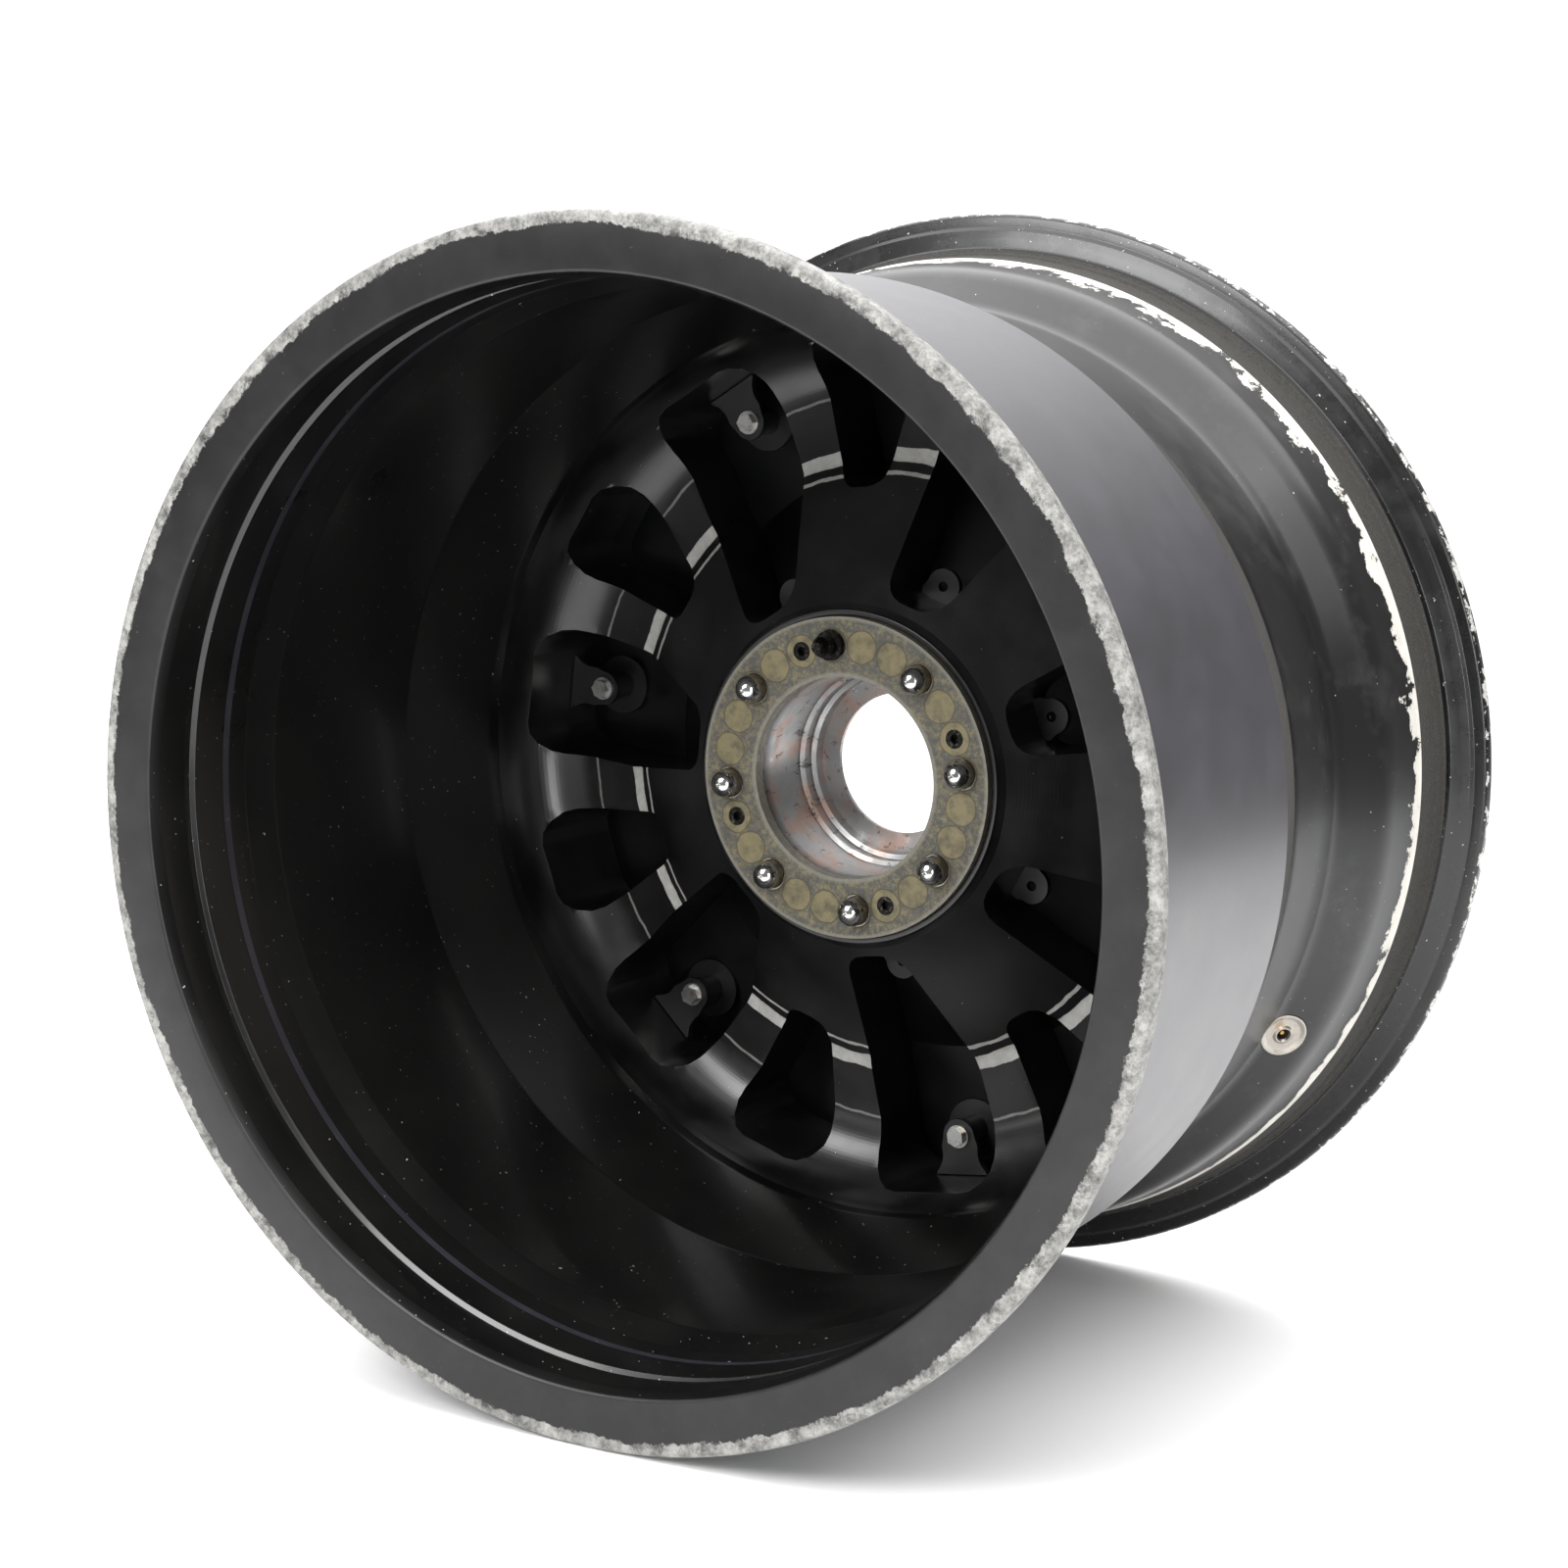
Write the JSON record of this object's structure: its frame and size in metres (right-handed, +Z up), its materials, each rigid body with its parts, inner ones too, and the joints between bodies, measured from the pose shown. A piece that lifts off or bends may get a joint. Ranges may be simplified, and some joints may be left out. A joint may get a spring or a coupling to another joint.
{
  "type": "racing wheel rim",
  "caption": "Forged centre-lock racing wheel rim with forked spokes, drop-centre barrel, drive ring with pegs, bolted cover and inflation valve.",
  "frame": {"origin": "on the spin axis at the middle of the overall width", "axes": "+Y along the spin axis towards the outboard side, +Z up"},
  "size_m": [0.4919, 0.349, 0.492],
  "materials": {
    "black_paint": "satin",
    "worn_liner": "machined, scuffed",
    "hard_coat": "hard-coated, fretted",
    "bright_steel": "polished",
    "dark_steel": "oiled",
    "cover_black": "satin",
    "bolt_steel": "satin",
    "valve_steel": "turned",
    "seal_rubber": "matte",
    "valve_brass": "satin"
  },
  "bodies": {
    "wheel": {"inboard_flange": "black_paint", "rim_drum": "black_paint", "rim_barrel": "black_paint", "outboard_flange": "black_paint", "spoke_tines": "black_paint", "spoke_roots": "black_paint", "hub_boss": "black_paint", "bore_liner": "worn_liner", "nut_seat": "worn_liner", "drive_ring": "hard_coat", "drive_pegs": "bright_steel", "index_peg": "dark_steel", "ring_screws": "dark_steel", "aero_cover": "cover_black", "cover_bosses": "cover_black", "outer_ears": "cover_black", "inner_ears": "cover_black", "ear_bolts": "bolt_steel", "ear_washers": "bolt_steel", "valve_body": "valve_steel", "valve_seal": "seal_rubber", "valve_nut": "valve_steel", "valve_core": "valve_brass", "valve_spring": "bolt_steel"},
    "valve_pin": {"valve_pin": "valve_brass"}
  },
  "joints": [
    {"name": "valve_pin_press", "type": "slide", "parent": "wheel", "child": "valve_pin", "axis": [0.6437, -0.669, -0.3716], "range_m": [0, 0.002], "stiffness_N_per_m": 400, "springref_m": -0.002}
  ]
}
